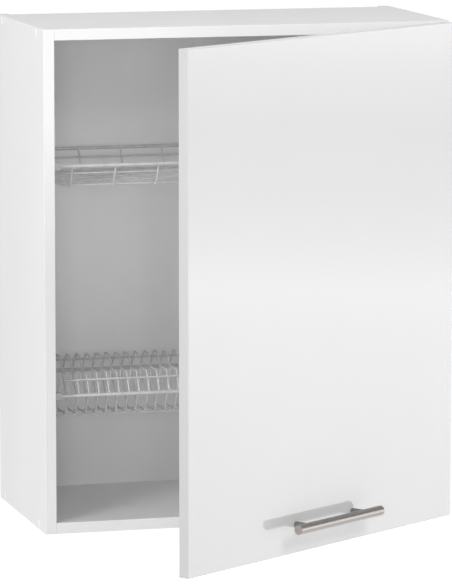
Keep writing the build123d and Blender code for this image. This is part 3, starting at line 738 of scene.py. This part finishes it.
# Studio: a floor well below the hanging cabinet, soft lamps, and a white surround for the eye and the gloss
studio = {
    "floorLevel": cabinet["underside"] - 0.85,
    "floorSize": 60,
    "floorTone": 0.8,
    "floorGlow": 0.64,
    "ambient": 0.49,
    "flag": {"place": (1.85, -0.25, 0.55), "target": (0.05, -0.6, -0.63),
             "width": 1.5, "height": 1.2, "level": 0.62},
    "lamps": [
        # name, place, what it is aimed at, width, height, watts
        ("left", (-2.6, -0.8, -0.2), (-0.3, -0.15, -0.3), 1.5, 1.5, 11),
        ("key", (-1.9, -1.7, 0.7), (-0.1, -0.3, -0.3), 0.8, 0.8, 23),
        ("eye", (-1.2, -4.2, 0.1), (-0.1, -0.1, -0.25), 0.9, 0.9, 27),
        ("over", (1.2, -2.2, 1.4), (0, -0.3, -0.2), 1.2, 1.2, 30),
        ("mirrored", (2.6, -0.6, -0.67), (0.05, -0.6, -0.67), 1.6, 1.3, 12.5),
    ],
    "unmirrored": ("eye", "over"),  # lamps that the gloss door would show as glaring patches
    # brightness of the mirrored softbox from its foot to its top, which the gloss door shows
    "mirroredBands": [(0.0, 0.6), (0.34, 0.82), (0.44, 0.88), (0.50, 1.0), (0.57, 0.72), (0.64, 0.50),
                      (0.75, 0.38), (0.84, 0.58), (0.9, 0.92)],
}


# what the eye sees itself, mirrored in gloss or through glass
def seenRays(m):
    camera, glossy, through = (m.node("ShaderNodeLightPath", out=name) for name in
                               ("Is Camera Ray", "Is Glossy Ray", "Is Transmission Ray"))
    return camera + glossy + through > 0.5


def floorFinish():
    m = Finish("pale_floor")
    matt = m.node("ShaderNodeBsdfDiffuse", sockets={"Color": grey(studio["floorTone"])})
    strength = seenRays(m) * studio["floorGlow"]
    glow = m.node("ShaderNodeEmission", sockets={"Color": grey(1.0), "Strength": strength})
    both = m.node("ShaderNodeAddShader", sockets={0: matt, 1: glow})
    m.node("ShaderNodeOutputMaterial", sockets={"Surface": both})
    return m.material


def clothFinish(level):
    m = Finish("grey_cloth")
    cloth = m.node("ShaderNodeBsdfDiffuse", sockets={"Color": grey(level)})
    m.node("ShaderNodeOutputMaterial", sockets={"Surface": cloth})
    return m.material


deselectAll()
bpy.ops.mesh.primitive_plane_add(size=studio["floorSize"], location=(0, 0, studio["floorLevel"]))
floor = settle(bpy.context.object)
floor.name = "floor"
dress(floor, floorFinish())

# a grey card up on the right, which the upper half of the round handle mirrors
flag = studio["flag"]
deselectAll()
bpy.ops.mesh.primitive_plane_add(size=1)
card = bpy.context.object
card.name = "flag_card"
card.scale = (flag["width"], flag["height"], 1)
card.location = flag["place"]
card.rotation_euler = aimed(flag["place"], flag["target"], "Z")
settle(card)
card.visible_camera = False
dress(card, clothFinish(flag["level"]))

# the surround is white to the eye and dimmer as a light
world = bpy.data.worlds.new("studio_world")
bpy.context.scene.world = world
sky = Finish("studio_world", world)
strength = seenRays(sky) * (1 - studio["ambient"]) + studio["ambient"]
surround = sky.node("ShaderNodeBackground", sockets={"Color": grey(1.0), "Strength": strength})
sky.node("ShaderNodeOutputWorld", sockets={"Surface": surround})

for name, place, target, width, height, watts in studio["lamps"]:
    light = bpy.data.lights.new(name + "_lamp", "AREA")
    light.shape = "RECTANGLE"
    light.size, light.size_y = width, height
    light.energy = watts
    if name == "mirrored":
        softbox = Finish(name, light)
        rise = softbox.axis(softbox.node("ShaderNodeNewGeometry", out="Parametric"), "Y")
        bands = softbox.ramp(rise, studio["mirroredBands"])
        glow = softbox.node("ShaderNodeEmission", sockets={"Strength": bands})
        softbox.node("ShaderNodeOutputLight", sockets={"Surface": glow})
    lamp = bpy.data.objects.new(name + "_lamp", light)
    lamp.location = place
    lamp.rotation_euler = aimed(place, target, "-Z")
    lamp.visible_camera = False
    lamp.visible_glossy = name not in studio["unmirrored"]
    bpy.context.scene.collection.objects.link(lamp)

# Camera at the photograph's angle, found from the cabinet's edges
camera = {
    "place": (-1.685965, -6.332559, 0.543091),
    "turn": 0.267248,  # from straight ahead towards +X
    "tilt": 0.139644,  # below the horizon
    "focus": 4421.850,  # in pixels of an image of this height
    "imageHeight": 584,
    "sensorHeight": 24.0,
    "farthest": 200,
}
view = bpy.data.cameras.new("photo_camera")
view.sensor_fit = "VERTICAL"
view.sensor_height = camera["sensorHeight"]
view.lens = camera["focus"] * camera["sensorHeight"] / camera["imageHeight"]
view.clip_end = camera["farthest"]
eye = bpy.data.objects.new("photo_camera", view)
eye.location = camera["place"]
eye.rotation_euler = (pi / 2 - camera["tilt"], 0, -camera["turn"])
bpy.context.scene.collection.objects.link(eye)
bpy.context.scene.camera = eye
bpy.context.scene.view_settings.view_transform = "Standard"
print("studio made")
